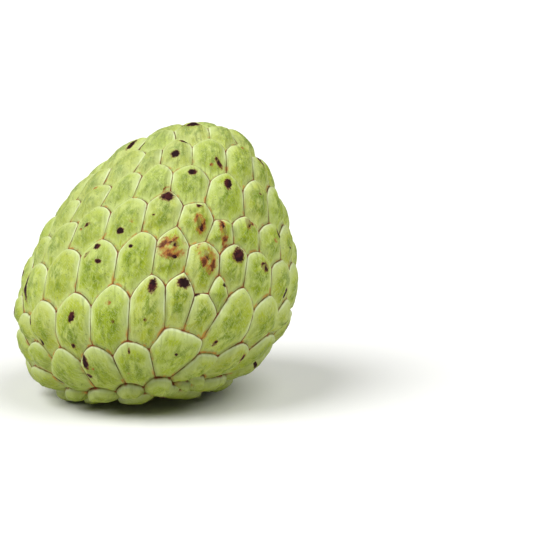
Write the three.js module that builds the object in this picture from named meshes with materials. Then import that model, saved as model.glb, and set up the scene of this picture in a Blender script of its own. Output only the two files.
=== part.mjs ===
// A custard apple, picked and set down on its stem end. The whole fruit is one solid: an oblique,
// blunt heart covered all over in rows of overlapping scales. Each scale has a round top towards
// the apex, a pointed foot between the two scales below it, and a narrow groove around it. The
// stem end has a hollow with the cut stub of the stalk in it, and the lowest scales are pressed
// flat where the fruit rests. Millimetres, +Z up, the seen side faces -Y.
import * as THREE from "three";
import { ConvexHull } from "three/addons/math/ConvexHull.js";

// The body, measured over the crests of the scales.
const GIRTH_RADIUS = 50.6; // at the widest ring
const CROWN_HEIGHT = 66.4; // from the widest ring up to the top
const BASE_DEPTH = 33; // from the widest ring down to the underside
const CROWN_FULLNESS = [0.09, -0.43, 0.28]; // how the flank departs from an ellipse above the ring
const BASE_FULLNESS = [-0.19, 0.38]; // and below it
const SWAY_UNIT = 50; // height over which the sways below are stated
const SWAY_RIGHT = [9.5, -5.3, 5.5]; // how the middle line leans, bows and twists to +X
const SWAY_BACK = [5, 4]; // how it leans and bows to +Y

// The scales stand in rows about the fruit's own axis, which bends from the apex to the stalk. A
// row gives the place of each scale that shows from the front, as [degrees from the front to the
// right, degrees from the apex]. The others are spread evenly behind, at the row's own angle. A
// row of small scales has a size below 1, and its neighbours spread over it.
const APEX_BACK = 30; // degrees from straight up to the apex, away from the seen side
const STALK_FRONT = 14; // degrees from straight down to the stalk, towards the seen side
const APEX_LEFT = 5.5;
const ROWS = [
  { polar: 0, seen: [[0, 0]], behind: 0 },
  { polar: 20, seen: [[20, 20]], behind: 6 },
  { polar: 39, seen: [[-18, 38], [3, 37], [28, 40]], behind: 10 },
  { polar: 54, seen: [[-29, 53], [-15, 51], [-4, 52], [16, 55], [36, 56], [57, 55]], behind: 13 },
  {
    polar: 66,
    seen: [[-40, 63], [-25, 63], [-10, 62], [9, 66], [28, 72], [45, 73], [64, 69]],
    behind: 13,
  },
  {
    polar: 78,
    seen: [[-68, 71], [-52, 74], [-35, 72], [-18, 75], [-1, 73], [12, 78], [24, 82], [38, 81], [53, 84]],
    behind: 15,
  },
  {
    polar: 90,
    seen: [[-64, 85], [-44, 85], [-26, 87], [-10, 88], [4, 85], [18, 91], [25, 99], [32, 89], [45, 91]],
    behind: 15,
  },
  {
    polar: 104,
    seen: [[-67, 95], [-52, 99], [-35, 102], [-19, 101], [-3, 101], [8, 99], [20, 104]],
    behind: 15,
  },
  {
    polar: 127,
    seen: [[-60, 122], [-46, 129], [-25, 127], [-9, 124], [9, 120], [26, 131]],
    behind: 13,
  },
  {
    polar: 152,
    seen: [[-60, 150], [-35, 154], [-9, 151], [10, 147], [22, 144], [32, 142]],
    behind: 9,
    size: 0.4,
  },
  { polar: 169, seen: [[0, 169]], behind: 6, size: 0.65 },
  { polar: 180, seen: [[0, 180]], behind: 0, size: 0.6 },
];
const UNEVEN = 2.5; // degrees by which a scale behind may stand off its place
const SETTLE_STEPS = 4; // rounds in which the scales behind press each other even
const SETTLE_SHARE = 0.3;

// One scale.
const ARCH = 0.13; // rise of a scale's round top, as a share of the chord
const GROOVE_DEPTH = 2.2;
const STEM_GROOVE_DEPTH = 3.6; // the grooves are deeper round the stem end
const STEM_GROOVES = [120, 158]; // degrees from the apex over which they deepen
const SHOULDER = 1.5; // width of the steep rim beside the groove
const SHOULDER_DROP = 0.75;
const CROWN_SHARE = 0.5; // how far in the low dome begins
const CROWN_DROP = 0.12;
const TIP_LIFT = 0.45; // how far the rim stands up at the tip, and down at the foot

// The stem end and the flats it rests on.
const HOLLOW_DEPTH = 7;
const HOLLOW_SPREAD = 15; // degrees from the stalk over which the hollow fades
const STALK_RADIUS = 3.4;
const STALK_FOOT_RADIUS = 4.2;
const STALK_LENGTH = 4;
const FLAT_DEPTH = 2; // how much of the lowest scales is pressed flat

const radians = THREE.MathUtils.degToRad;

// The direction of a place given by its angle from the apex and its turn from the front.
function direction(polar, turn) {
  const back = radians(THREE.MathUtils.lerp(APEX_BACK, STALK_FRONT, polar / 180));
  const axis = new THREE.Vector3(-Math.sin(radians(APEX_LEFT)), Math.sin(back), 0);
  axis.z = Math.sqrt(1 - axis.lengthSq());
  const right = new THREE.Vector3(1, 0, 0).addScaledVector(axis, -axis.x).normalize();
  const front = right.clone().cross(axis);
  const out = Math.sin(radians(polar));
  return axis
    .multiplyScalar(Math.cos(radians(polar)))
    .addScaledVector(right, out * Math.sin(radians(turn)))
    .addScaledVector(front, out * Math.cos(radians(turn)));
}

const apex = direction(0, 0);
const stem = direction(180, 0);

// A number from 0 to 1 that looks random but is the same each time.
function lot(n) {
  const s = Math.sin(n * 12.9898 + 4.1) * 43758.5453;
  return s - Math.floor(s);
}

// A power series with no constant term.
const series = (terms, t) => terms.reduceRight((sum, term) => t * (term + sum), 0);

// The body's surface in a direction, before the scales: an egg whose middle line sways.
function bodyPoint(d) {
  const up = Math.max(d.z, 0);
  const down = Math.max(-d.z, 0);
  const girth = GIRTH_RADIUS * (1 + series(CROWN_FULLNESS, up) + series(BASE_FULLNESS, down));
  const z = CROWN_HEIGHT * up - BASE_DEPTH * down;
  const right = series(SWAY_RIGHT, z / SWAY_UNIT);
  const back = series(SWAY_BACK, z / SWAY_UNIT);
  return new THREE.Vector3(right + girth * d.x, back + girth * d.y, z);
}

// The outward normal of that surface.
function bodyNormal(d) {
  const step = 1e-3;
  const right = new THREE.Vector3(1, 0, 0);
  if (Math.abs(d.x) > 0.7) right.set(0, 1, 0);
  const a = right.addScaledVector(d, -right.dot(d)).normalize();
  const b = d.clone().cross(a);
  const here = bodyPoint(d);
  const da = bodyPoint(d.clone().addScaledVector(a, step).normalize()).sub(here);
  const db = bodyPoint(d.clone().addScaledVector(b, step).normalize()).sub(here);
  return da.cross(db).normalize();
}

// A point at a height over the crests, with the hollow round the stalk.
function surfacePoint(d, height) {
  const fromStem = THREE.MathUtils.radToDeg(d.angleTo(stem)) / HOLLOW_SPREAD;
  const sink = HOLLOW_DEPTH * Math.exp(-fromStem * fromStem);
  return bodyPoint(d).addScaledVector(bodyNormal(d), height - sink);
}

// The depth of the grooves at a place.
function grooveDepth(d) {
  const deeper = THREE.MathUtils.smoothstep(THREE.MathUtils.radToDeg(d.angleTo(apex)), ...STEM_GROOVES);
  return THREE.MathUtils.lerp(GROOVE_DEPTH, STEM_GROOVE_DEPTH, deeper);
}

// The middle of each scale as a direction, row by row; the last one is the stalk.
function placeScales() {
  const places = [];
  for (const { polar, seen, behind, size = 1 } of ROWS) {
    for (const [turn, at] of seen) places.push({ turn, polar: at, size, fixed: true });
    const turns = seen.map(([turn]) => turn);
    const last = Math.max(...turns);
    const spacing = (360 - last + Math.min(...turns)) / (behind + 1);
    for (let k = 1; k <= behind; k++) {
      const n = places.length;
      const turn = last + spacing * k + UNEVEN * (2 * lot(n) - 1);
      const at = polar + UNEVEN * (2 * lot(n + 0.5) - 1);
      places.push({ turn, polar: at, size, fixed: false });
    }
  }
  for (const place of places) {
    place.seed = direction(place.polar, place.turn);
  }
  return places;
}

// The net of grooves: for each scale, its neighbours in turn and the junction before each.
function netOf(seeds, sizes) {
  const stretched = seeds.map((d) => d.clone().multiply(stretchOf(d)));
  const number = new Map(stretched.map((p, i) => [p, i]));
  const after = seeds.map(() => new Map());
  for (const face of new ConvexHull().setFromPoints(stretched).faces) {
    const ring = [];
    let edge = face.edge;
    do {
      ring.push(number.get(edge.head().point));
      edge = edge.next;
    } while (edge !== face.edge);
    const junction = { middle: new THREE.Vector3() };
    ring.forEach((i) => junction.middle.addScaledVector(seeds[i], 1 / sizes[i]));
    junction.middle.normalize();
    ring.forEach((i, k) => after[i].set(ring[(k + 1) % 3], { to: ring[(k + 2) % 3], junction }));
  }
  return after.map((next) => {
    const loop = [];
    let at = next.keys().next().value;
    do {
      const { to, junction } = next.get(at);
      loop.push({ junction, neighbour: to });
      at = to;
    } while (loop.length < next.size);
    return loop;
  });
}

// The egg without its sway, on which the hull of the seeds is taken.
function stretchOf(d) {
  return new THREE.Vector3(GIRTH_RADIUS, GIRTH_RADIUS, d.z > 0 ? CROWN_HEIGHT : BASE_DEPTH);
}

// The scales behind press each other even: each moves a share of the way to its outline's middle.
function settledSeeds(places, sizes) {
  let seeds = places.map(({ seed }) => seed);
  for (let round = 0; round < SETTLE_STEPS; round++) {
    const net = netOf(seeds, sizes);
    seeds = seeds.map((seed, i) => {
      if (places[i].fixed) return seed;
      const middle = new THREE.Vector3();
      net[i].forEach(({ junction }) => middle.add(junction.middle));
      return seed.clone().lerp(middle.normalize(), SETTLE_SHARE).normalize();
    });
  }
  return seeds;
}

// The top of the arch on the groove between two scales: it bulges from the lower into the upper.
function archTop(from, to, one, other) {
  const upper = one.angleTo(apex) < other.angleTo(apex) ? one : other;
  const lower = upper === one ? other : one;
  const climb = (lower.angleTo(apex) - upper.angleTo(apex)) / lower.angleTo(upper);
  const chord = to.clone().sub(from);
  const rise = upper.clone().sub(lower);
  rise.addScaledVector(chord, -rise.dot(chord) / chord.lengthSq()).normalize();
  const middle = from.clone().add(to).multiplyScalar(0.5);
  return middle.addScaledVector(rise, ARCH * climb * chord.length()).normalize();
}

// The mesh under construction.
class Skin {
  constructor() {
    this.points = [];
    this.faces = [];
    this.known = new Map();
  }

  add(point) {
    this.points.push(point);
    return this.points.length - 1;
  }

  // A point that several scales share is made once.
  shared(key, make) {
    if (!this.known.has(key)) this.known.set(key, this.add(make()));
    return this.known.get(key);
  }

  // A band of faces between two rings of as many points, outer ring first.
  band(outer, inner) {
    outer.forEach((a, k) => {
      const b = (k + 1) % outer.length;
      this.faces.push([a, outer[b], inner[b]], [a, inner[b], inner[k]]);
    });
  }

  fan(ring, middle) {
    ring.forEach((a, k) => this.faces.push([a, ring[(k + 1) % ring.length], middle]));
  }
}

// The outline of a scale as directions, with the skin's own number for each of its points.
function outlineOf(skin, loop, me, seeds) {
  const groovePoint = (d) => surfacePoint(d, -grooveDepth(d));
  const outline = [];
  loop.forEach(({ junction, neighbour }, k) => {
    const next = loop[(k + 1) % loop.length].junction;
    outline.push({
      d: junction.middle,
      at: skin.shared(junction, () => groovePoint(junction.middle)),
    });
    const top = archTop(junction.middle, next.middle, seeds[me], seeds[neighbour]);
    const pair = [me, neighbour].sort((a, b) => a - b).join("|");
    outline.push({ d: top, at: skin.shared(pair, () => groovePoint(top)) });
  });
  return outline;
}

// A ring inside an outline: each point a share of the way in, at its own height.
function innerRing(skin, outline, middle, shareOf, heightOf) {
  return outline.map(({ d }) => {
    const inward = d.clone().lerp(middle, shareOf(d)).normalize();
    return skin.add(surfacePoint(inward, heightOf(d)));
  });
}

function addScale(skin, outline) {
  const middle = new THREE.Vector3();
  outline.forEach(({ d }) => middle.add(d));
  middle.normalize();
  const centre = bodyPoint(middle);
  const tipward = apex.clone().addScaledVector(middle, -apex.dot(middle)).normalize();
  const lift = (d) => TIP_LIFT * d.clone().sub(middle).normalize().dot(tipward);
  const rim = (d) => SHOULDER / bodyPoint(d).distanceTo(centre);
  const shoulder = innerRing(skin, outline, middle, rim, (d) => lift(d) - SHOULDER_DROP);
  const crown = innerRing(skin, outline, middle, () => CROWN_SHARE, (d) => 0.5 * lift(d) - CROWN_DROP);
  skin.band(outline.map(({ at }) => at), shoulder);
  skin.band(shoulder, crown);
  skin.fan(crown, skin.add(surfacePoint(middle, 0)));
}

// The stub stands in the hollow: a foot ring, a cut rim and the cut face.
function addStalk(skin, outline) {
  const floor = surfacePoint(stem, -STEM_GROOVE_DEPTH);
  const out = bodyNormal(stem);
  const first = outline[0].d.clone();
  first.addScaledVector(out, -first.dot(out)).normalize();
  const ringAt = (radius, height) =>
    outline.map((_, k) => {
      const across = first.clone().applyAxisAngle(out, (k / outline.length) * 2 * Math.PI);
      return skin.add(floor.clone().addScaledVector(across, radius).addScaledVector(out, height));
    });
  const foot = ringAt(STALK_FOOT_RADIUS, 0);
  const rim = ringAt(STALK_RADIUS, STALK_LENGTH);
  skin.band(outline.map(({ at }) => at), foot);
  skin.band(foot, rim);
  skin.fan(rim, skin.add(floor.clone().addScaledVector(out, STALK_LENGTH)));
}

// The lowest scales are pressed flat, and the origin goes to the middle of the footprint's box.
function setDown(points) {
  const lowest = Math.min(...points.map((p) => p.z)) + FLAT_DEPTH;
  for (const p of points) p.z = Math.max(p.z - lowest, 0);
  const box = new THREE.Box3().setFromPoints(points);
  const middle = box.getCenter(new THREE.Vector3()).setZ(0);
  for (const p of points) p.sub(middle);
}

function fruitGeometry() {
  const places = placeScales();
  const sizes = places.map(({ size }) => size);
  const seeds = settledSeeds(places, sizes);
  const skin = new Skin();
  netOf(seeds, sizes).forEach((loop, me) => {
    const outline = outlineOf(skin, loop, me, seeds);
    if (me === seeds.length - 1) addStalk(skin, outline);
    else addScale(skin, outline);
  });
  setDown(skin.points);
  const geometry = new THREE.BufferGeometry().setFromPoints(skin.points);
  geometry.setIndex(skin.faces.flat());
  geometry.computeVertexNormals();
  return geometry;
}

const rind = new THREE.MeshStandardMaterial({ color: 0xa3be62, roughness: 0.55, metalness: 0 });
const fruit = new THREE.Mesh(fruitGeometry(), rind);
fruit.name = "fruit";

const custardApple = new THREE.Group();
custardApple.add(fruit);

export default custardApple;
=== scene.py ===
"""A whole custard apple: one waxy rind of round-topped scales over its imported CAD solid.

The rind is laid out by the same rule as the solid: the places of the scales give a hull, the hull
gives the net of grooves, and each scale is a disc fitted on its own outline. Lengths in the rind
are millimetres until a mesh is made, and Blender's metres after that.
"""

import logging
import math
from dataclasses import dataclass, field
from enum import Enum
from typing import Sequence

import bmesh
import bpy
import numpy as np
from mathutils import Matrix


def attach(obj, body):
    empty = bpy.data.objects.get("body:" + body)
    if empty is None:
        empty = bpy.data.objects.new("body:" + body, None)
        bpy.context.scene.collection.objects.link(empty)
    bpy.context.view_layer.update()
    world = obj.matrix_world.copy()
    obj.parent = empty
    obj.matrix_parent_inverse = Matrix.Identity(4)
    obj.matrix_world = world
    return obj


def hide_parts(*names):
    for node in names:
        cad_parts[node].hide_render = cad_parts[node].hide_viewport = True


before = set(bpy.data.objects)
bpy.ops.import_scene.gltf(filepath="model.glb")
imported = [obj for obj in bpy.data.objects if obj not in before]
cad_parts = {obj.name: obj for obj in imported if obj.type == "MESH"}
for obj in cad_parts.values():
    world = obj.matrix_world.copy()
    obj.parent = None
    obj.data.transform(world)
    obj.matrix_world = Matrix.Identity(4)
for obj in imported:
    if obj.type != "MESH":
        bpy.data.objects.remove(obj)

log = logging.getLogger("custard_apple")

MM = 0.001
NODE = "fruit"
MARKS_A_SCALE = 3
Socket = bpy.types.NodeSocket

# What makes the numbers of lot look random.
LOT_STEP, LOT_START, LOT_SPREAD = 12.9898, 4.1, 43758.5453


def unit(v: np.ndarray) -> np.ndarray:
    """Scales vectors, one a row, to length one."""
    return v / np.linalg.norm(v, axis=-1, keepdims=True)


def lot(n: float) -> float:
    """Gives a number from 0 to 1 that looks random but is the same each time.

    Args:
        n: Which number is wanted.

    Returns:
        The number.
    """
    s = math.sin(n * LOT_STEP + LOT_START) * LOT_SPREAD
    return s - math.floor(s)


def series(terms: Sequence[float], t: np.ndarray) -> np.ndarray:
    """Sums a power series with no constant term."""
    total = np.zeros_like(t)
    for term in reversed(terms):
        total = t * (term + total)
    return total


def blend(low: float, high: float, t: np.ndarray) -> np.ndarray:
    """Rises smoothly from 0 to 1 as t goes from low to high."""
    x = np.clip((t - low) / (high - low), 0, 1)
    return x * x * (3 - 2 * x)


def deselect() -> None:
    """Leaves nothing selected, the CAD nodes included."""
    for other in bpy.context.selected_objects:
        other.select_set(False)
    bpy.context.view_layer.objects.active = None


def select(*pieces: bpy.types.Object) -> None:
    """Selects the pieces alone and makes the first one active.

    Args:
        pieces: The objects to work on.
    """
    deselect()
    for piece in pieces:
        piece.select_set(True)
    bpy.context.view_layer.objects.active = pieces[0]


@dataclass(frozen=True)
class Body:
    """The fruit's body measured over the crests of its scales: an egg whose middle line sways."""

    girth_radius: float = 50.6
    crown_height: float = 66.4
    base_depth: float = 33.0
    crown_fullness: tuple[float, ...] = (0.09, -0.43, 0.28)
    base_fullness: tuple[float, ...] = (-0.19, 0.38)
    sway_unit: float = 50.0
    sway_right: tuple[float, ...] = (9.5, -5.3, 5.5)
    sway_back: tuple[float, ...] = (5.0, 4.0)
    apex_back: float = 30.0
    stalk_front: float = 14.0
    apex_left: float = 5.5
    hollow_depth: float = 7.0
    hollow_spread: float = 15.0
    groove_depth: float = 1.8
    stem_groove_depth: float = 3.6
    stem_grooves: tuple[float, float] = (120.0, 158.0)

    def direction(self, polar: float, turn: float) -> np.ndarray:
        """Turns an angle from the apex and a turn from the front into a direction.

        Args:
            polar: Degrees from the apex.
            turn: Degrees from the front to the right.

        Returns:
            The direction, of length one.
        """
        share = polar / 180
        back = math.radians(self.apex_back * (1 - share) + self.stalk_front * share)
        x, y = -math.sin(math.radians(self.apex_left)), math.sin(back)
        axis = np.array([x, y, math.sqrt(1 - x * x - y * y)])
        right = unit(np.array([1.0, 0, 0]) - x * axis)
        front = np.cross(right, axis)
        out, around = math.radians(polar), math.radians(turn)
        sideways = right * math.sin(around) + front * math.cos(around)
        return axis * math.cos(out) + sideways * math.sin(out)

    @property
    def apex(self) -> np.ndarray:
        """The direction of the blunt tip."""
        return self.direction(0, 0)

    @property
    def stem(self) -> np.ndarray:
        """The direction of the stalk."""
        return self.direction(180, 0)

    def point(self, d: np.ndarray) -> np.ndarray:
        """Gives the surface point in each direction, before the hollow and the scales."""
        up, down = np.maximum(d[..., 2], 0), np.maximum(-d[..., 2], 0)
        fullness = 1 + series(self.crown_fullness, up) + series(self.base_fullness, down)
        girth = self.girth_radius * fullness
        z = self.crown_height * up - self.base_depth * down
        x = series(self.sway_right, z / self.sway_unit) + girth * d[..., 0]
        y = series(self.sway_back, z / self.sway_unit) + girth * d[..., 1]
        return np.stack([x, y, z], -1)

    def normal(self, d: np.ndarray) -> np.ndarray:
        """Gives the outward normal of the surface in each direction."""
        step, limit = 1e-3, 0.7
        sideways = np.abs(d[..., :1]) > limit
        side = np.where(sideways, np.array([0.0, 1, 0]), np.array([1.0, 0, 0]))
        a = unit(side - d * (side * d).sum(-1, keepdims=True))
        b = np.cross(d, a)
        here = self.point(d)
        across = self.point(unit(d + a * step)) - here
        along = self.point(unit(d + b * step)) - here
        return unit(np.cross(across, along))

    def degrees(self, d: np.ndarray, pole: np.ndarray) -> np.ndarray:
        """Gives the angle between each direction and a pole."""
        return np.degrees(np.arccos(np.clip(d @ pole, -1, 1)))

    def surface(self, d: np.ndarray, height: np.ndarray | float) -> np.ndarray:
        """Gives points at a height over the crests, with the hollow round the stalk.

        Args:
            d: Directions, one a row.
            height: Millimetres over the crests, for each or for all.

        Returns:
            The points in millimetres.
        """
        sink = self.hollow_depth * np.exp(-((self.degrees(d, self.stem) / self.hollow_spread) ** 2))
        return self.point(d) + self.normal(d) * (height - sink)[..., None]

    def groove(self, d: np.ndarray) -> np.ndarray:
        """Gives the depth of the grooves at each direction."""
        deeper = blend(*self.stem_grooves, self.degrees(d, self.apex))
        return self.groove_depth + (self.stem_groove_depth - self.groove_depth) * deeper

    def stretch(self, d: np.ndarray) -> np.ndarray:
        """Puts directions on the egg without its sway, on which the hull is taken."""
        height = np.where(d[..., 2] > 0, self.crown_height, self.base_depth)
        return d * np.stack([np.full_like(height, self.girth_radius)] * 2 + [height], -1)


@dataclass(frozen=True)
class Row:
    """One row of scales about the fruit's axis.

    seen gives each scale that shows from the front as (degrees from the front to the right,
    degrees from the apex). The others stand evenly behind at the row's own angle.
    """

    polar: float
    seen: tuple[tuple[float, float], ...]
    behind: int
    size: float = 1.0


ROWS = (
    Row(0, ((0, 0),), 0),
    Row(20, ((20, 20),), 6),
    Row(39, ((-18, 38), (3, 37), (28, 40)), 10),
    Row(54, ((-29, 53), (-15, 51), (-4, 52), (16, 55), (36, 56), (57, 55)), 13),
    Row(66, ((-40, 63), (-25, 63), (-10, 62), (9, 66), (28, 72), (45, 73), (64, 69)), 13),
    Row(
        78,
        ((-68, 71), (-52, 74), (-35, 72), (-18, 75), (-1, 73))
        + ((12, 78), (24, 82), (38, 81), (53, 84)),
        15,
    ),
    Row(
        90,
        ((-64, 85), (-44, 85), (-26, 87), (-10, 88), (4, 85))
        + ((18, 91), (25, 99), (32, 89), (45, 91)),
        15,
    ),
    Row(104, ((-67, 95), (-52, 99), (-35, 102), (-19, 101), (-3, 101), (8, 99), (20, 104)), 15),
    Row(127, ((-60, 122), (-46, 129), (-25, 127), (-9, 124), (9, 120), (26, 131)), 13),
    Row(152, ((-60, 150), (-35, 154), (-9, 151), (10, 147), (22, 144), (32, 142)), 9, 0.4),
    Row(169, ((0, 169),), 6, 0.65),
    Row(180, ((0, 180),), 0, 0.6),
)


@dataclass(frozen=True)
class Junction:
    """Where three scales meet: their numbers in turn, and the direction of the spot."""

    scales: tuple[int, int, int]
    middle: np.ndarray = field(compare=False)


@dataclass
class GrooveNet:
    """The net of grooves between the scales, from their places alone."""

    body: Body
    rows: tuple[Row, ...] = ROWS
    uneven: float = 2.5
    settle_steps: int = 4
    settle_share: float = 0.3
    sides: int = 8
    roundness: float = 1.05
    arch: float = 0.6
    lean_gain: float = 2.5
    seeds: np.ndarray = field(init=False)
    sizes: np.ndarray = field(init=False)
    first_of_row: list[int] = field(init=False)
    loops: list[list[tuple[Junction, int]]] = field(init=False)
    ends: dict[tuple[int, int], list[Junction]] = field(init=False)

    def __post_init__(self) -> None:
        """Places the scales, lets the ones behind settle, and nets them."""
        seeds, sizes, fixed = [], [], []
        self.first_of_row = []
        for row in self.rows:
            self.first_of_row.append(len(seeds))
            seeds += [self.body.direction(polar, turn) for turn, polar in row.seen]
            fixed += [True] * len(row.seen)
            turns = [turn for turn, _ in row.seen]
            spacing = (360 - max(turns) + min(turns)) / (row.behind + 1)
            for k in range(1, row.behind + 1):
                n = len(seeds)
                turn = max(turns) + spacing * k + self.uneven * (2 * lot(n) - 1)
                polar = row.polar + self.uneven * (2 * lot(n + 0.5) - 1)
                seeds.append(self.body.direction(polar, turn))
                fixed.append(False)
            sizes += [row.size] * (len(seeds) - len(sizes))
        self.seeds, self.sizes = np.array(seeds), np.array(sizes)
        free = ~np.array(fixed)
        for _ in range(self.settle_steps):
            loops = self.net()
            middles = unit(np.array([sum(j.middle for j, _ in loop) for loop in loops]))
            moved = unit(self.seeds + (middles - self.seeds) * self.settle_share)
            self.seeds[free] = moved[free]
        self.loops = self.net()
        self.ends = {}
        for me, loop in enumerate(self.loops):
            for k, (junction, neighbour) in enumerate(loop):
                if me < neighbour:
                    self.ends[me, neighbour] = [junction, loop[(k + 1) % len(loop)][0]]

    def hull(self) -> list[tuple[int, int, int]]:
        """Takes the hull of the places on the egg.

        Returns:
            Its triangles as three scales each, in turn as seen from outside.
        """
        mesh = bpy.data.meshes.new("places")
        points = self.body.stretch(self.seeds) * MM
        mesh.from_pydata(points.tolist(), [], [])
        number = mesh.attributes.new("number", "INT", "POINT")
        number.data.foreach_set("value", range(len(points)))
        places = bpy.data.objects.new("places", mesh)
        bpy.context.scene.collection.objects.link(places)
        select(places)
        bpy.ops.object.mode_set(mode="EDIT")
        bpy.ops.mesh.select_all(action="SELECT")
        bpy.ops.mesh.convex_hull(join_triangles=False)
        bpy.ops.mesh.normals_make_consistent(inside=False)
        bpy.ops.object.mode_set(mode="OBJECT")
        numbers = [item.value for item in mesh.attributes["number"].data]
        faces = [tuple(numbers[v] for v in face.vertices) for face in mesh.polygons]
        bpy.data.objects.remove(places)
        bpy.data.meshes.remove(mesh)
        return faces

    def net(self) -> list[list[tuple[Junction, int]]]:
        """Finds the neighbours of each scale.

        Returns:
            For each scale, its neighbours in turn, each with the junction before it.
        """
        after: list[dict[int, tuple[int, Junction]]] = [{} for _ in self.seeds]
        for ring in self.hull():
            weight = 1 / self.sizes[list(ring)]
            middle = unit((self.seeds[list(ring)] * weight[:, None]).sum(0))
            junction = Junction(ring, middle)
            for k, scale in enumerate(ring):
                after[scale][ring[(k + 1) % 3]] = (ring[(k + 2) % 3], junction)
        loops = []
        for following in after:
            at = next(iter(following))
            loop = []
            while len(loop) < len(following):
                at, junction = following[at]
                loop.append((junction, at))
            loops.append(loop)
        return loops

    def heading(self, start: Junction, one: int, other: int) -> np.ndarray:
        """Gives the way from a junction to the far end of the groove between two scales."""
        ends = self.ends[min(one, other), max(one, other)]
        far = ends[1] if ends[0] is start else ends[0]
        return unit(far.middle - start.middle)

    def tangent(self, at: Junction, one: int, other: int) -> np.ndarray:
        """Gives the way a groove leaves a junction.

        A scale's round top runs smoothly under the two scales above it, and smoothly on into the
        straight groove beside it, so only the groove of the other two meets it at an angle.

        Args:
            at: The junction.
            one: A scale on one side of the groove.
            other: The scale on its other side.

        Returns:
            The direction of the groove as it leaves, of length one.
        """
        apex = self.body.apex
        ranked = sorted(at.scales, key=lambda scale: -float(self.seeds[scale] @ apex))
        angles = [math.acos(float(self.seeds[scale] @ apex)) for scale in ranked]
        lean = ((angles[1] - angles[0]) - (angles[2] - angles[1])) / (angles[2] - angles[0])
        lone = ranked[0] if lean > 0 else ranked[2]
        chord = self.heading(at, one, other)
        if lone not in (one, other):
            return chord
        third = next(scale for scale in at.scales if scale not in (one, other))
        paired = other if one == lone else one
        if lone == ranked[2]:
            through = chord - self.heading(at, lone, third)
        else:
            through = chord - self.heading(at, paired, third)
        strength = min(1.0, abs(lean) * self.lean_gain) * self.arch
        return unit(chord + (unit(through) - chord) * strength)

    def groove(self, start: Junction, end: Junction, one: int, other: int) -> np.ndarray:
        """Draws the groove between two junctions.

        Args:
            start: Where it begins.
            end: Where it ends.
            one: The scale on one side.
            other: The scale on the other side.

        Returns:
            Directions along it, from the start up to but not with the end.
        """
        length = float(np.linalg.norm(end.middle - start.middle)) * self.roundness
        t = np.arange(self.sides)[:, None] / self.sides
        leave = self.tangent(start, one, other) * length
        arrive = -self.tangent(end, one, other) * length
        line = (
            (2 * t**3 - 3 * t**2 + 1) * start.middle
            + (t**3 - 2 * t**2 + t) * leave
            + (3 * t**2 - 2 * t**3) * end.middle
            + (t**3 - t**2) * arrive
        )
        return unit(line)

    def outline(self, me: int) -> np.ndarray:
        """Gives the outline of a scale as directions, in turn as seen from outside."""
        loop = self.loops[me]
        parts = []
        for k, (junction, neighbour) in enumerate(loop):
            following = loop[(k + 1) % len(loop)][0]
            if me < neighbour:
                parts.append(self.groove(junction, following, me, neighbour))
            else:
                back = self.groove(following, junction, me, neighbour)
                parts.append(np.vstack([junction.middle[None], back[:0:-1]]))
        return np.vstack(parts)


class MarkKind(Enum):
    """What a mark on the rind is. The value is how rusty it is, from 0 to 1."""

    BRUISE = 0.1
    SCAB = 0.5
    RUST = 1.0


@dataclass(frozen=True)
class Mark:
    """One mark on a scale.

    across and along place its middle: from -1 at the left side to 1 at the right one, and from
    -1 at the foot to 1 at the tip. length and width are millimetres, and turn is the degrees
    from across to its length.
    """

    across: float
    along: float
    length: float
    width: float
    turn: float = 0.0
    kind: MarkKind = MarkKind.BRUISE


BRUISE, SCAB, RUST = MarkKind

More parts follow.
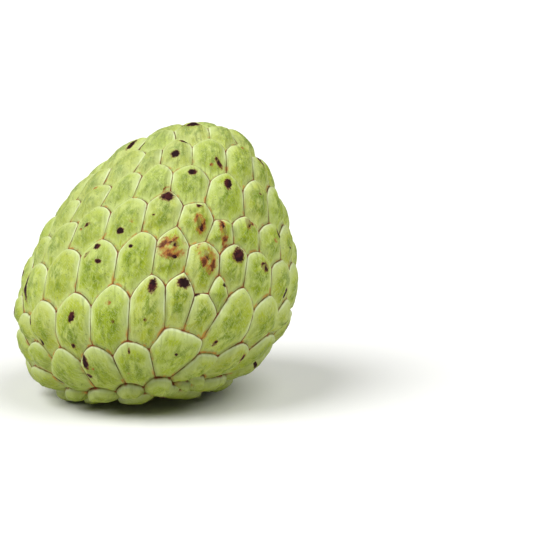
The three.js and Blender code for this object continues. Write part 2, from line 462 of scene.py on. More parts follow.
# The marks that show from the front, by the scale's row and its place in the row.
SEEN_MARKS: dict[tuple[int, int], tuple[Mark, ...]] = {
    (2, 1): (Mark(0.0, 0.35, 4.5, 3.8), Mark(-0.5, 0.4, 1.6, 1.0)),
    (2, 0): (Mark(-0.75, -0.2, 4.0, 1.4, 70),),
    (2, 12): (Mark(0.5, 0.25, 6.5, 1.8, 90),),
    (3, 2): (Mark(0.0, -0.15, 3.0, 2.7), Mark(0.25, 0.65, 3.0, 1.2)),
    (3, 3): (Mark(0.45, -0.25, 4.0, 1.7, 128, SCAB), Mark(0.1, -0.4, 1.4, 1.1, 0, RUST)),
    (3, 4): (Mark(-0.35, 0.6, 2.0, 1.2, 40, SCAB), Mark(0.1, 0.5, 1.3, 1.0, 0, RUST)),
    (3, 5): (Mark(-0.1, 0.5, 5.0, 1.6, 128, SCAB),),
    (4, 0): (Mark(0.2, 0.6, 1.6, 0.9, 30, RUST),),
    (4, 1): (Mark(0.6, 0.93, 3.6, 1.6, -20, RUST),),
    (4, 2): (Mark(0.1, 0.85, 1.1, 0.8, 0, SCAB), Mark(0.75, -0.3, 2.4, 1.6, 60, RUST)),
    (4, 3): (Mark(0.05, 0.45, 3.0, 2.4, 30),),
    (4, 4): (Mark(0.0, 0.47, 4.2, 2.7, 90), Mark(-0.2, -0.85, 3.0, 1.5, 20, RUST)),
    (4, 5): (Mark(0.0, 0.3, 1.0, 0.8, 0, SCAB),),
    (5, 2): (Mark(0.0, 0.1, 2.2, 1.3, 45, SCAB), Mark(-0.3, -0.05, 1.0, 0.8, 0, RUST)),
    (5, 3): (Mark(-0.1, -0.35, 2.6, 2.2), Mark(0.4, -0.05, 1.6, 1.0, 0, RUST)),
    (5, 4): (Mark(0.1, 0.66, 4.4, 4.0), Mark(-0.45, -0.1, 0.9, 0.8, 0, SCAB)),
    (5, 5): (
        Mark(0.2, -0.1, 6.6, 3.4, 117, RUST),
        Mark(0.2, -0.15, 4.5, 1.6, 117, SCAB),
        Mark(0.05, 0.65, 2.2, 1.4, 0, SCAB),
    ),
    (5, 6): (Mark(0.05, 0.1, 9.0, 2.4, 105, RUST), Mark(0.02, 0.25, 5.0, 1.1, 105, SCAB)),
    (5, 7): (Mark(-0.1, 0.55, 4.2, 2.0, 90, SCAB), Mark(0.2, 0.6, 2.0, 1.4, 0, RUST)),
    (5, 8): (Mark(0.4, 0.5, 3.2, 1.6, 120), Mark(0.1, 0.1, 1.9, 1.4, 0, RUST)),
    (6, 0): (Mark(-0.2, 0.1, 9.0, 2.2, 80),),
    (6, 2): (
        Mark(0.02, 0.66, 2.3, 2.1),
        Mark(0.2, 0.2, 2.0, 1.5),
        Mark(-0.45, 0.45, 2.8, 1.1, 50, SCAB),
    ),
    (6, 3): (Mark(-0.2, 0.4, 1.5, 1.4),),
    (6, 4): (
        Mark(0.0, 0.25, 8.0, 6.8, 0, RUST),
        Mark(0.15, 0.35, 3.0, 2.2, 0, SCAB),
        Mark(0.2, -0.05, 1.6, 1.2),
    ),
    (6, 5): (Mark(0.1, 0.35, 9.0, 5.2, 115, RUST), Mark(0.05, 0.4, 4.0, 1.4, 110, SCAB)),
    (6, 6): (Mark(0.3, 0.5, 1.8, 1.3),),
    (6, 7): (Mark(0.2, 0.45, 5.6, 4.2, 75),),
    (6, 8): (Mark(0.1, 0.3, 3.6, 3.1, 0, SCAB),),
    (7, 1): (Mark(-0.35, 0.7, 4.2, 1.6, 85), Mark(-0.35, -0.15, 2.4, 1.4, 80)),
    (7, 2): (Mark(0.2, 0.42, 3.7, 2.2, 60), Mark(0.0, -0.25, 1.8, 1.5, 0, SCAB)),
    (7, 3): (Mark(0.0, 0.55, 1.8, 1.4, 0, RUST), Mark(0.25, 0.1, 1.0, 0.9, 0, SCAB)),
    (7, 4): (Mark(0.15, 0.72, 4.6, 2.6, 80), Mark(-0.1, -0.15, 1.2, 1.0, 0, SCAB)),
    (7, 5): (Mark(0.15, 0.62, 4.2, 3.6),),
    (7, 6): (Mark(-0.6, 0.85, 3.2, 2.4, 30),),
    (8, 1): (Mark(-0.4, 0.2, 5.5, 1.3, 110),),
    (8, 2): (
        Mark(-0.35, 0.6, 4.5, 2.1, 80),
        Mark(-0.5, 0.15, 2.5, 1.8, -30),
        Mark(-0.1, 0.35, 0.9, 0.8, 0, RUST),
    ),
    (8, 3): (Mark(-0.2, 0.75, 1.9, 0.9, 90, SCAB), Mark(-0.3, -0.1, 0.9, 0.8, 0, RUST)),
    (8, 4): (Mark(-0.05, 0.1, 1.1, 0.9), Mark(0.2, 0.85, 0.7, 0.7)),
    (9, 3): (Mark(0.0, -0.2, 1.9, 1.4, 20),),
}


@dataclass(frozen=True)
class HiddenMarks:
    """How marks are drawn by lot for the scales that don't show from the front.

    Widths are millimetres. across and along are the least value and the range.
    """

    most: float = 2.6
    least_width: float = 0.8
    spare_width: float = 2.6
    across: tuple[float, float] = (-0.45, 0.9)
    along: tuple[float, float] = (-0.35, 1.1)
    next_lot: float = 0.13

    def draw(self, me: int) -> tuple[Mark, ...]:
        """Draws the marks of a scale.

        Args:
            me: The scale's number.

        Returns:
            Its marks, none to two.
        """
        marks = []
        for k in range(int(lot(me + 0.1) * self.most)):
            n = me + self.next_lot * k
            width = self.least_width + self.spare_width * lot(n + 0.2) ** 2
            marks.append(
                Mark(
                    across=self.across[0] + self.across[1] * lot(n + 0.3),
                    along=self.along[0] + self.along[1] * lot(n + 0.4),
                    length=width * (1 + lot(n + 0.5)),
                    width=width,
                    turn=360 * lot(n + 0.6),
                    kind=list(MarkKind)[int(len(MarkKind) * lot(n + 0.7) ** 2)],
                )
            )
        return tuple(marks)


@dataclass
class Rind:
    """The whole skin: every scale fitted on its outline, with the stub of the stalk."""

    body: Body
    net: GrooveNet
    ring_widths: tuple[float, ...] = (0.0, 0.2, 0.5, 0.95, 1.6, 2.4)
    ring_shares: tuple[float, ...] = (0.18, 0.38, 0.6, 0.8)
    rim_width: float = 3.1
    rim_crispness: float = 1.0
    least_inset: float = 0.35
    wall_roundness: float = 0.6
    nudge: float = 0.01
    dome: float = 2.0
    tip_lift: float = 1.4
    uneven_height: float = 0.9
    uneven_size: float = 6.0
    crease_height: float = 0.45
    crease_size: float = 2.5
    held_edge: float = 1.6
    stand: tuple[float, float, float] = (-0.74, -0.614, 29.961)
    stub_rings: tuple[tuple[float, float], ...] = (
        (4.5, 0.0),
        (3.9, 0.6),
        (3.6, 1.8),
        (3.5, 3.2),
        (3.4, 3.8),
        (3.1, 4.0),
        (2.3, 3.9),
        (1.5, 3.95),
        (0.7, 3.85),
    )
    stub_middle: float = 3.9
    stub_lobes: tuple[tuple[int, float, float], ...] = ((3, 0.05, 1.0), (7, 0.03, 0.0))
    stub_groove: float = 4.0
    stub_dome: float = 0.5
    own_spread: float = 100.0
    far: float = 9.0
    weld: float = 0.004
    crisp_angle: float = 60.0
    hidden_marks: HiddenMarks = HiddenMarks()

    def disc(self, points: int) -> bpy.types.Object:
        """Models the disc that a scale is made from: a circle inset ring by ring to its middle.

        Args:
            points: How many points are on its edge.

        Returns:
            The disc, of radius one, with evenly spaced rings.
        """
        rings = len(self.ring_widths) + len(self.ring_shares)
        deselect()
        bpy.ops.mesh.primitive_circle_add(vertices=points, radius=1, fill_type="NGON")
        disc = bpy.context.object
        bpy.ops.object.mode_set(mode="EDIT")
        bpy.ops.mesh.select_all(action="SELECT")
        for _ in range(rings - 1):
            bpy.ops.mesh.inset(thickness=1 / rings, use_even_offset=False)
        bpy.ops.mesh.poke()
        bpy.ops.object.mode_set(mode="OBJECT")
        return disc

    def scale_points(self, me: int, outline: np.ndarray) -> dict[str, np.ndarray]:
        """Works out a scale's points, ring by ring from the groove to the middle.

        Args:
            me: The scale's number.
            outline: Its outline as directions.

        Returns:
            Arrays of one row a ring and one column a point of the outline.
        """
        body = self.body
        centre = unit(outline.mean(0))
        up = body.normal(centre[None])[0]
        middle = body.point(centre[None])[0]
        edge = body.point(outline)
        run = np.roll(edge, -1, 0) - np.roll(edge, 1, 0)
        outward = unit(np.cross(run, up))
        reach = edge - middle
        least = self.least_inset * np.linalg.norm(reach, axis=-1)
        inset = np.maximum((reach * outward).sum(-1), least)
        rim = np.array(self.ring_widths)[:, None] / inset
        rest = rim[-1] + (1 - rim[-1]) * np.array(self.ring_shares)[:, None]
        share = np.minimum(np.vstack([rim, rest, np.ones_like(inset)]), 1)
        d = unit(outline + (centre - outline) * share[..., None])
        width = share * inset
        tipward = unit(body.apex - centre * (body.apex @ centre))
        towards_tip = unit(outline - centre) @ tipward
        lift = self.tip_lift * towards_tip
        steep = np.clip(1 - width / (self.rim_width - self.rim_crispness * towards_tip), 0, 1)
        wall = self.wall_roundness * (1 - np.sqrt(1 - steep**2))
        wall += (1 - self.wall_roundness) * steep**2
        height = -body.groove(d) * wall - self.dome * (1 - share) ** 2 * (1 - wall)
        height += lift * (1 - share) * (1 - steep**3)
        points = body.surface(d, height)
        nudged = unit(centre + self.nudge * tipward)
        along = unit(body.point(nudged[None])[0] - middle)
        across = np.cross(along, up)
        place = np.stack([(points - middle) @ across, (points - middle) @ along], -1)
        corners = body.point(np.array([j.middle for j, _ in self.net.loops[me]]))
        gaps = np.linalg.norm(body.point(d)[..., None, :] - corners, axis=-1)
        return {
            "points": points,
            "place": place,
            "groove": width,
            "dome": share,
            "joint": gaps.min(-1),
            "bark": np.zeros_like(share),
        }

    def stub_points(self, outline: np.ndarray) -> dict[str, np.ndarray]:
        """Works out the stub of the stalk, from the groove round it to the middle of its cut.

        Args:
            outline: The outline of its place in the net, as directions.

        Returns:
            Arrays of one row a ring and one column a point of the outline.
        """
        body = self.body
        stem = body.stem[None]
        out = body.normal(stem)[0]
        floor = body.surface(stem, -body.groove(stem))[0]
        first = unit(outline[0] - out * (outline[0] @ out))
        side = np.cross(out, first)
        turn = 2 * math.pi * np.arange(len(outline)) / len(outline)
        away = first * np.cos(turn)[:, None] + side * np.sin(turn)[:, None]
        rings = [body.surface(outline, -body.groove(outline))]
        uneven = 1 + sum(size * np.sin(n * turn + start) for n, size, start in self.stub_lobes)
        for radius, height in self.stub_rings:
            rings.append(floor + away * (radius * uneven)[:, None] + out * height)
        middle = floor + out * self.stub_middle
        points = np.stack([*rings, np.tile(middle, (len(outline), 1))])
        shape = points.shape[:2]
        bark = np.ones(shape)
        bark[0] = 0
        return {
            "points": points,
            "place": np.stack([(points - floor) @ first, (points - floor) @ side], -1),
            "groove": np.full(shape, self.stub_groove),
            "dome": np.full(shape, self.stub_dome),
            "joint": np.full(shape, self.far),
            "bark": bark,
        }

    def marks_on(self, me: int) -> tuple[Mark, ...]:
        """Gives a scale's marks: its own if it shows from the front, or else seeded ones."""
        row = max(r for r, first in enumerate(self.net.first_of_row) if first <= me)
        at = me - self.net.first_of_row[row]
        if (row, at) in SEEN_MARKS or at < len(self.net.rows[row].seen):
            return SEEN_MARKS.get((row, at), ())
        return self.hidden_marks.draw(me)

    def fit(self, disc: bpy.types.Object, me: int) -> bpy.types.Object:
        """Copies a disc and fits the copy on one scale's outline.

        Args:
            disc: The disc with as many edge points as the outline has.
            me: The scale's number.

        Returns:
            The fitted scale.
        """
        outline = self.net.outline(me)
        stub = me == len(self.net.seeds) - 1
        made = self.stub_points(outline) if stub else self.scale_points(me, outline)
        piece = disc.copy()
        piece.data = mesh = disc.data.copy()
        bpy.context.scene.collection.objects.link(piece)
        rings, points = made["dome"].shape
        flat = np.zeros(len(mesh.vertices) * 3)
        mesh.vertices.foreach_get("co", flat)
        flat = flat.reshape(-1, 3)
        ring = np.rint((1 - np.linalg.norm(flat, axis=-1)) * (rings - 1)).astype(int)
        step = np.rint(np.arctan2(flat[:, 1], flat[:, 0]) / (2 * math.pi) * points).astype(int)
        step[ring == rings - 1] = 0
        step %= points
        mesh.vertices.foreach_set("co", (made["points"][ring, step] * MM).ravel())
        for name in ("groove", "dome", "joint", "bark"):
            attribute = mesh.attributes.new(name, "FLOAT", "POINT")
            attribute.data.foreach_set("value", made[name][ring, step])
        corner = np.zeros(len(mesh.loops), dtype=int)
        mesh.loops.foreach_get("vertex_index", corner)
        place = made["place"][ring, step][corner]
        own = np.full((len(corner), 1), self.own_spread * lot(me + 0.9))
        vectors = {"place": np.hstack([place, own])}
        half = np.abs(made["place"]).max((0, 1))
        marks = self.marks_on(me)
        for k in range(MARKS_A_SCALE):
            if k < len(marks):
                mark = marks[k]
                gap = place - half * (mark.across, mark.along)
                turn = math.radians(mark.turn)
                along = (gap @ (math.cos(turn), math.sin(turn))) / (mark.length / 2)
                across = (gap @ (-math.sin(turn), math.cos(turn))) / (mark.width / 2)
                rust = np.full_like(along, mark.kind.value)
                vectors[f"mark_{k}"] = np.stack([along, across, rust], -1)
            else:
                vectors[f"mark_{k}"] = np.tile((self.far, self.far, 0.0), (len(corner), 1))
        for name, values in vectors.items():
            attribute = mesh.attributes.new(name, "FLOAT_VECTOR", "CORNER")
            attribute.data.foreach_set("vector", values.astype(np.float32).ravel())
        return piece

    def roughen(self, rind: bpy.types.Object) -> None:
        """Makes the scales uneven with two applied displacements, held off the grooves."""
        group = rind.vertex_groups.new(name="scales")
        edge = np.zeros(len(rind.data.vertices))
        rind.data.attributes["groove"].data.foreach_get("value", edge)
        bark = np.zeros_like(edge)
        rind.data.attributes["bark"].data.foreach_get("value", bark)
        weights = blend(0.0, self.held_edge, edge) * (1 - bark)
        for index, weight in enumerate(weights):
            group.add([index], float(weight), "REPLACE")
        for name, height, size in (
            ("uneven", self.uneven_height, self.uneven_size),
            ("creases", self.crease_height, self.crease_size),
        ):
            texture = bpy.data.textures.new(name, "CLOUDS")
            texture.noise_scale = size * MM
            texture.noise_depth = 1
            displace = rind.modifiers.new(name, "DISPLACE")
            displace.texture = texture
            displace.texture_coords = "LOCAL"
            displace.mid_level = 0.5
            displace.strength = height * MM
            displace.vertex_group = "scales"
            bpy.ops.object.modifier_apply(modifier=name)
        rind.vertex_groups.clear()

    def build(self) -> bpy.types.Object:
        """Builds the skin, joins its scales at the grooves and presses its foot flat.

        Returns:
            The finished skin, with its place in its mesh.
        """
        discs: dict[int, bpy.types.Object] = {}
        pieces = []
        for me, loop in enumerate(self.net.loops):
            points = len(loop) * self.net.sides
            if points not in discs:
                discs[points] = self.disc(points)
            pieces.append(self.fit(discs[points], me))
        select(*pieces)
        bpy.ops.object.join()
        rind = pieces[0]
        rind.name = rind.data.name = "rind"
        for disc in discs.values():
            bpy.data.objects.remove(disc)
        bpy.ops.object.mode_set(mode="EDIT")
        bpy.ops.mesh.select_all(action="SELECT")
        bpy.ops.mesh.remove_doubles(threshold=self.weld * MM)
        bpy.ops.mesh.quads_convert_to_tris()
        bpy.ops.mesh.normals_make_consistent(inside=False)
        bpy.ops.object.mode_set(mode="OBJECT")
        self.roughen(rind)
        bpy.ops.transform.translate(value=[step * MM for step in self.stand])
        bpy.ops.object.transform_apply(location=True, rotation=True, scale=True)
        self.press(rind)
        bpy.ops.object.shade_smooth_by_angle(angle=math.radians(self.crisp_angle))
        log.info("rind: %d scales, %d triangles", len(pieces), len(rind.data.polygons))
        return rind

    def press(self, rind: bpy.types.Object) -> None:
        """Presses flat what is below the surface that the fruit rests on."""
        bpy.ops.object.mode_set(mode="EDIT")
        edit = bmesh.from_edit_mesh(rind.data)
        for vertex in edit.verts:
            vertex.select_set(vertex.co.z < 0)
        edit.select_flush(False)
        for vertex in edit.verts:
            if vertex.select:
                vertex.co.z = 0
        bmesh.update_edit_mesh(rind.data)
        bpy.ops.object.mode_set(mode="OBJECT")


def linear(code: str) -> tuple[float, float, float, float]:
    """Turns an sRGB hex value into a linear colour.

    Args:
        code: Six hex digits after a hash sign.

    Returns:
        The linear colour with full opacity.
    """
    parts = [int(code[k : k + 2], 16) / 255 for k in (1, 3, 5)]
    low = [c / 12.92 if c <= 0.04045 else ((c + 0.055) / 1.055) ** 2.4 for c in parts]
    return (low[0], low[1], low[2], 1.0)


@dataclass
class Nodes:
    """A material's node tree."""

    tree: bpy.types.NodeTree

    def add(self, kind: str, links: dict | None = None, **settings: object) -> bpy.types.Node:
        """Adds a node, with settings on itself and values or links on its inputs.

        Args:
            kind: The node's type.
            links: For inputs by name or number, a socket to link or a value to set.
            settings: Attributes of the node.

        Returns:
            The node.
        """
        node = self.tree.nodes.new(kind)
        for name, value in settings.items():
            setattr(node, name, value)
        for key, value in (links or {}).items():
            if isinstance(value, Socket):
                self.tree.links.new(value, node.inputs[key])
            else:
                node.inputs[key].default_value = value
        return node

    def calc(self, operation: str, *inputs: float | Socket) -> Socket:
        """Adds one step of arithmetic on numbers and gives its result."""
        return self.add("ShaderNodeMath", dict(enumerate(inputs)), operation=operation).outputs[0]

    def calc_vector(self, operation: str, *inputs: tuple | Socket) -> Socket:
        """Adds one step of arithmetic on vectors and gives its result, a vector or a number."""
        node = self.add("ShaderNodeVectorMath", dict(enumerate(inputs)), operation=operation)
        number = operation in ("DOT_PRODUCT", "LENGTH")
        return node.outputs["Value" if number else "Vector"]

    def ramp(self, value: Socket, off: float, on: float, shape: str = "SMOOTHSTEP") -> Socket:
        """Adds a rise from 0, where the value is at off, to 1, where it is at on."""
        links = {"Value": value, "From Min": off, "From Max": on}
        return self.add("ShaderNodeMapRange", links, interpolation_type=shape).outputs["Result"]


def new_material(name: str) -> tuple[bpy.types.Material, Nodes]:
    """Makes an empty material.

    Args:
        name: Its name.

    Returns:
        The material and its nodes.
    """
    material = bpy.data.materials.new(name)
    material.use_nodes = True
    material.node_tree.nodes.clear()
    return material, Nodes(material.node_tree)


@dataclass(frozen=True)
class Noise:
    """A pattern on each scale: its grain in millimetres across and along, and its turn."""

    size: tuple[float, float]
    turn: float = 0.0
    detail: float = 2.0


# The two fibre patterns cross, and the stronger one shows.
NOISES = {
    "cloud": Noise((6.0, 6.0)),
    "mottle": Noise((2.0, 4.0), -0.5, 4.0),
    "fleck": Noise((0.8, 0.8), 0.0, 1.0),
    "edge": Noise((0.8, 0.8), 0.0, 3.0),
    "fold": Noise((1.6, 9.0), 0.15, 1.0),
    "fibre": Noise((0.28, 2.0), -0.3),
    "cross_fibre": Noise((0.28, 2.0), 0.8),
}

# Each mask: the value that it is made from, and where that value turns it off and on. Along,
# groove and joint are millimetres on a scale, height and lightward metres in the whole fruit.
RAMPS = {
    "cloudy": ("cloud", 0.4, 0.6),
    "shady": ("cloud", 0.54, 0.4),
    "corky": ("cloud", 0.42, 0.56),
    "folded": ("fold", 0.54, 0.66),
    "mottled": ("mottle", 0.4, 0.62),
    "tinted": ("mottle", 0.48, 0.6),
    "patchy": ("mottle", 0.36, 0.58),
    "scorched": ("mottle", 0.52, 0.62),
    "flecked": ("fleck", 0.64, 0.72),
    "grainy": ("edge", 0.46, 0.6),
    "fibrous": ("fibre", 0.56, 0.66),
    # Painted shade: darker olive towards the bottom of the fruit.
    "low": ("height", 0.046, 0.0),
    # Painted sheen: paler towards the upper left, where the key lamp lights the fruit.
    "lit_side_sheen": ("lightward", 0.055, 0.1),
    "foot": ("along", 1.5, -4.0),
    "tip": ("along", -2.0, 4.5),
    "crest": ("dome", 0.1, 0.8),
    "border": ("groove", 3.0, 0.5),
    "bank": ("groove", 1.4, 0.35),
    "brink": ("groove", 1.2, 0.3),
    # The pale edge of each scale: part wax colour and part painted highlight.
    "rim": ("groove", 0.9, 0.35),
    "wall": ("groove", 0.5, 0.12),
    "bottom": ("groove", 0.26, 0.06),
    "around": ("joint", 7.0, 1.5),
    "beside": ("joint", 4.5, 1.2),
    "corner": ("joint", 1.2, 0.3),
}

# Masks that are products of others. The ring and the core are those of the marks.
PRODUCTS = {
    "deep": ("crest", "mottled"),
    "shade": ("crest", "shady"),
    "crease": ("crest", "folded"),
    # Painted shade on the foot of each scale beside its groove, where the tip of the scale below
    # overlaps it.
    "foot_shade": ("bank", "foot"),
    "tinge": ("tinted", "around", "brink", "foot"),
    "border_tip": ("border", "tip"),
    # Painted highlight along the tip of each scale, where light catches its round top.
    "tip_highlight": ("rim", "tip"),
    "cork": ("bottom", "corky"),
    "seam": ("beside", "wall", "corky"),
    "spot": ("corner", "wall"),
    "burnt": ("ring", "scorched"),
    "dried": ("core", "scorched"),
}


@dataclass(frozen=True)
class WaxyRind:
    """Living fruit skin with a thin bloom of wax, grown: soft gloss, no metal.

    Green cells under a pale waxy cuticle give a yellow-green. It deepens on the crests and in the
    creases, and pales at the rims, most at the tips of the scales: a pale edge that is part wax
    and part painted highlight. A painted sheen pales the upper left, the side that faces the key
    lamp, and painted shade darkens the foot of each scale beside its groove and the fruit towards
    the bottom. Fibres show as fine pale streaks. Old scabs are corky and dull, some with a rusty
    ring or a plum stain. The grooves hold brown cork, reddest where three scales meet.
    """

    green: str = "#a7ba2c"
    yellow: str = "#afb13a"
    deep: str = "#6c8400"
    pale: str = "#c5d290"
    # The wax colour, laid as a painted sheen on the side that faces the key lamp.
    bloom: str = "#cbd6a6"
    # The pale edge colour: part wax and part painted highlight, strongest at the tips.
    rim: str = "#dde6b8"
    fibre: str = "#c8d384"
    fleck: str = "#4c6216"
    groove: str = "#83853c"
    cork: str = "#4a2a16"
    joint: str = "#762c10"
    tint: str = "#c06c1c"
    # Painted shade colour, darker olive towards the bottom of the fruit.
    under: str = "#717c1c"
    seam: str = "#70441a"
    # Painted shade colour for the foot of each scale beside its groove.
    foot_shade: str = "#66701c"
    rust: str = "#b26428"
    plum: str = "#5c231f"
    burnt: str = "#4e2014"
    bruise: str = "#220409"
    bark: str = "#6b5233"
    roughness: float = 0.5
    dull_roughness: float = 0.75
    ior: float = 1.42
    gloss: float = 0.22
    relief_mm: float = 0.4
    relief_strength: float = 0.6
    fold_relief: float = 7.0
    # Which way the painted sheen faces: up and to the left, towards the key lamp.
    light_side: tuple[float, float, float] = (-0.6, 0.0, 1.0)
    mark_wobble: float = 1.2
    core_reach: tuple[float, float] = (1.0, 0.8)
    ring_reach: tuple[float, float] = (1.5, 0.9)
    stain_reach: tuple[float, float] = (1.3, 0.95)
    core_bar: tuple[float, float] = (0.7, 0.12)
    core_softness: tuple[float, float] = (-0.02, 0.05)
    ring_by_rust: tuple[float, float] = (0.7, 0.25)
    stain_by_rust: tuple[float, float] = (-0.9, 1.0)

    def coats(self) -> tuple[tuple[str, str, float], ...]:
        """Lists the coats of colour from the lowest up: colour, mask and greatest share."""
        return (
            (self.yellow, "own", 0.7),
            (self.pale, "cloudy", 0.35),
            (self.deep, "deep", 0.95),
            (self.deep, "shade", 0.45),
            (self.deep, "crease", 0.6),
            (self.pale, "grainy", 0.16),
            # Painted sheen: the wax colour laid on the upper left, where the key lamp lights the
            # fruit.
            (self.bloom, "lit_side_sheen", 0.22),
            (self.fleck, "flecked", 0.5),
            (self.pale, "border", 0.4),
            (self.pale, "border_tip", 0.6),
            (self.fibre, "fibrous", 0.45),
            # Pale edges, part wax and part painted highlight, and a painted highlight along the
            # tips.
            (self.rim, "rim", 0.2),
            (self.rim, "tip_highlight", 0.7),
            # Painted shade, darker towards the bottom of the fruit.
            (self.under, "low", 0.5),
            # Painted shade on the foot of each scale beside its groove.
            (self.foot_shade, "foot_shade", 0.45),
            (self.tint, "tinge", 0.75),
            (self.groove, "bottom", 0.9),
            (self.cork, "cork", 0.9),
            (self.seam, "seam", 0.75),
            (self.joint, "spot", 0.8),
            (self.rust, "ring", 0.95),
            (self.plum, "stain", 0.9),
            (self.burnt, "burnt", 0.9),
            (self.bruise, "core", 1.0),
            (self.plum, "dried", 0.45),
            (self.bark, "bark", 1.0),
        )

    def values(self, n: Nodes) -> dict[str, Socket]:
        """Adds what the masks are made from.

        Args:
            n: The material's nodes.

        Returns:
            The sockets by name: distances, places and patterns.
        """
        values = {
            name: n.add("ShaderNodeAttribute", attribute_name=name).outputs["Fac"]
            for name in ("groove", "dome", "joint", "bark")
        }
        place = n.add("ShaderNodeAttribute", attribute_name="place").outputs["Vector"]
        _, values["along"], own = n.add("ShaderNodeSeparateXYZ", {0: place}).outputs
        own = n.add("ShaderNodeTexWhiteNoise", {"W": own}, noise_dimensions="1D")
        values["own"] = own.outputs["Value"]
        point = n.add("ShaderNodeTexCoord").outputs["Object"]
        values["height"] = n.add("ShaderNodeSeparateXYZ", {0: point}).outputs["Z"]
        # Painted sheen: how far each point lies towards the key lamp's side, up and to the left.
        values["lightward"] = n.calc_vector("DOT_PRODUCT", point, self.light_side)
        for name, noise in NOISES.items():
            spread = n.add(
                "ShaderNodeMapping",
                {"Vector": place, "Rotation": (0, 0, noise.turn), "Scale": (*noise.size, 1)},
                vector_type="TEXTURE",
            ).outputs["Vector"]
            links = {"Vector": spread, "Scale": 1.0, "Detail": noise.detail}
            pattern = n.add("ShaderNodeTexNoise", links).outputs
            values[name] = pattern["Fac"]
            if name == "edge":
                values["stray"] = pattern["Color"]
        values["fibre"] = n.calc("MAXIMUM", values["fibre"], values["cross_fibre"])
        return values

    def marks(self, n: Nodes, mottle: Socket, patchy: Socket, stray: Socket) -> dict[str, Socket]:
        """Adds the masks of the marks.

        Args:
            n: The material's nodes.
            mottle: The pattern that breaks up the cores, the rustier the more.
            patchy: The mask that breaks up the rings.
            stray: The pattern that makes the outlines uneven.

        Returns:
            The core, the ring and the stain of all the marks together.
        """
        centred = n.calc_vector("SUBTRACT", stray, (0.5, 0.5, 0.5))
        wobble = n.calc_vector("MULTIPLY", centred, (self.mark_wobble, self.mark_wobble, 0))
        masks: dict[str, Socket] = {}
        for k in range(MARKS_A_SCALE):
            mark = n.add("ShaderNodeAttribute", attribute_name=f"mark_{k}").outputs["Vector"]
            rusty = n.add("ShaderNodeSeparateXYZ", {0: mark}).outputs["Z"]
            moved = n.calc_vector("ADD", mark, wobble)
            flat = n.calc_vector("MULTIPLY", moved, (1, 1, 0))
            out = n.calc_vector("LENGTH", flat)
            over = n.calc("SUBTRACT", mottle, n.calc("MULTIPLY_ADD", rusty, *self.core_bar))
            core = n.ramp(over, *self.core_softness, "LINEAR")
            ring = n.calc("MULTIPLY_ADD", rusty, *self.ring_by_rust)
            stain = n.calc("MULTIPLY_ADD", rusty, *self.stain_by_rust)
            for name, strength, reach in (
                ("core", core, self.core_reach),
                ("ring", n.calc("MULTIPLY", ring, patchy), self.ring_reach),
                ("stain", stain, self.stain_reach),
            ):
                mask = n.calc("MULTIPLY", strength, n.ramp(out, *reach))
                masks[name] = n.calc("MAXIMUM", masks[name], mask) if name in masks else mask
        return masks

    def make(self) -> bpy.types.Material:
        """Builds the material.

        Returns:
            The material.
        """
        material, n = new_material("waxy_rind")
        values = self.values(n)
        masks = {name: n.ramp(values[source], off, on) for name, (source, off, on) in RAMPS.items()}
        masks |= {"own": values["own"], "bark": values["bark"]}
        masks |= self.marks(n, values["mottle"], masks["patchy"], values["stray"])
        for name, (first, *others) in PRODUCTS.items():
            masks[name] = masks[first]
            for other in others:
                masks[name] = n.calc("MULTIPLY", masks[name], masks[other])
        tone: tuple | Socket = linear(self.green)
        for colour, mask, share in self.coats():
            amount = n.calc("MULTIPLY", masks[mask], share)
            links = {0: amount, 6: tone, 7: linear(colour)}
            tone = n.add("ShaderNodeMix", links, data_type="RGBA").outputs[2]
        dull = n.calc("MAXIMUM", masks["core"], masks["bottom"])
        links = {"Value": dull, "To Min": self.roughness, "To Max": self.dull_roughness}
        rough = n.add("ShaderNodeMapRange", links).outputs["Result"]
        relief = n.calc("ADD", values["mottle"], values["fibre"])
        relief = n.calc("MULTIPLY_ADD", values["fold"], self.fold_relief, relief)
        relief = n.calc("SUBTRACT", relief, masks["core"])
        reach = self.relief_mm * MM
        links = {"Height": relief, "Distance": reach, "Strength": self.relief_strength}
        bump = n.add("ShaderNodeBump", links)
        shader = n.add(
            "ShaderNodeBsdfPrincipled",
            {
                "Base Color": tone,
                "Roughness": rough,
                "IOR": self.ior,
                "Specular IOR Level": self.gloss,
                "Normal": bump.outputs[0],
            },
        )
        n.add("ShaderNodeOutputMaterial", {"Surface": shader.outputs["BSDF"]})
        return material


@dataclass(frozen=True)
class MattFloor:
    """A matt painted board, sprayed: an even pale surface with no gloss."""

    paint: str = "#f0f0ee"
    roughness: float = 0.9

    def make(self) -> bpy.types.Material:
        """Builds the material.

        Returns:
            The material.
        """
        material, n = new_material("matt_floor")
        shader = n.add(
            "ShaderNodeBsdfPrincipled",
            {"Base Color": linear(self.paint), "Roughness": self.roughness},
        )
        n.add("ShaderNodeOutputMaterial", {"Surface": shader.outputs["BSDF"]})
        return material


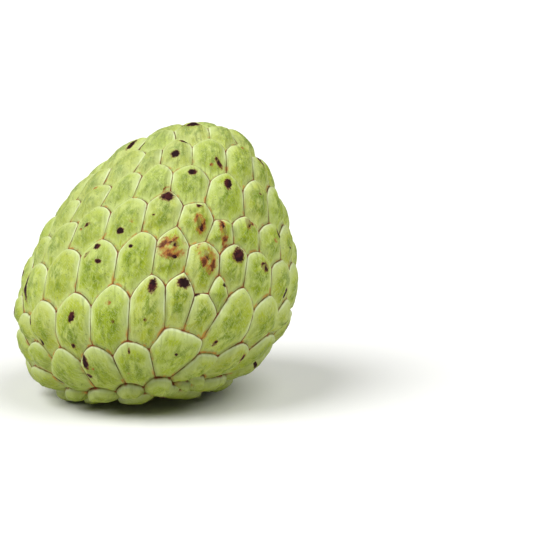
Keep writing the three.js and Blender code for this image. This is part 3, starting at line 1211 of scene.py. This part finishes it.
@dataclass
class Studio:
    """The floor, the lights and the camera."""

    target: tuple[float, float, float] = (39.69, -0.61, 45.94)
    distance: float = 750.0
    down: float = 12.0
    lens: float = 140.7
    sensor: float = 36.0
    clip: float = 20.0
    floor_size: float = 6.0
    key_turn: float = -72.0
    key_height: float = 50.0
    key_softness: float = 50.0
    key_strength: float = 3.1
    fill_turn: float = 78.0
    fill_height: float = 56.0
    fill_softness: float = 55.0
    fill_strength: float = 2.05
    haze: float = 0.1

    def lay_floor(self) -> None:
        """Lays a wide floor at the level that the fruit rests on."""
        deselect()
        bpy.ops.mesh.primitive_plane_add(size=self.floor_size)
        floor = bpy.context.object
        floor.name = "floor"
        floor.data.materials.append(MattFloor().make())

    def set_camera(self) -> None:
        """Puts the camera where the photograph was taken from."""
        tilt = math.radians(self.down)
        x, y, z = self.target
        spot = (x, y - self.distance * math.cos(tilt), z + self.distance * math.sin(tilt))
        bpy.ops.object.camera_add(
            location=[step * MM for step in spot], rotation=(math.pi / 2 - tilt, 0, 0)
        )
        camera = bpy.context.object
        camera.data.lens = self.lens
        camera.data.sensor_width = self.sensor
        camera.data.clip_end = self.clip
        bpy.context.scene.camera = camera

    def light(self) -> None:
        """Hangs a wide soft lamp high on the left, a weaker one on the right, and an even haze."""
        for name, turn, height, softness, strength in (
            ("key", self.key_turn, self.key_height, self.key_softness, self.key_strength),
            ("fill", self.fill_turn, self.fill_height, self.fill_softness, self.fill_strength),
        ):
            tilt = math.radians(90 - height)
            bpy.ops.object.light_add(type="SUN", rotation=(tilt, 0, math.radians(turn)))
            lamp = bpy.context.object
            lamp.name = name
            lamp.data.angle = math.radians(softness)
            lamp.data.energy = strength
        world = bpy.data.worlds.new("studio")
        world.use_nodes = True
        haze = world.node_tree.nodes["Background"].inputs
        haze["Color"].default_value = (1, 1, 1, 1)
        haze["Strength"].default_value = self.haze
        bpy.context.scene.world = world
        bpy.context.scene.view_settings.view_transform = "Standard"

    def build(self) -> None:
        """Sets up the whole studio."""
        self.lay_floor()
        self.set_camera()
        self.light()


def main() -> None:
    """Builds the studio and the fruit."""
    logging.basicConfig(level=logging.INFO, format="%(name)s: %(message)s")
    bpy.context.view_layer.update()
    Studio().build()
    log.info("studio ready")
    body = Body()
    rind = Rind(body, GrooveNet(body)).build()
    rind.data.materials.append(WaxyRind().make())
    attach(rind, "root")
    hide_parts(NODE)


if __name__ == "__main__":
    main()
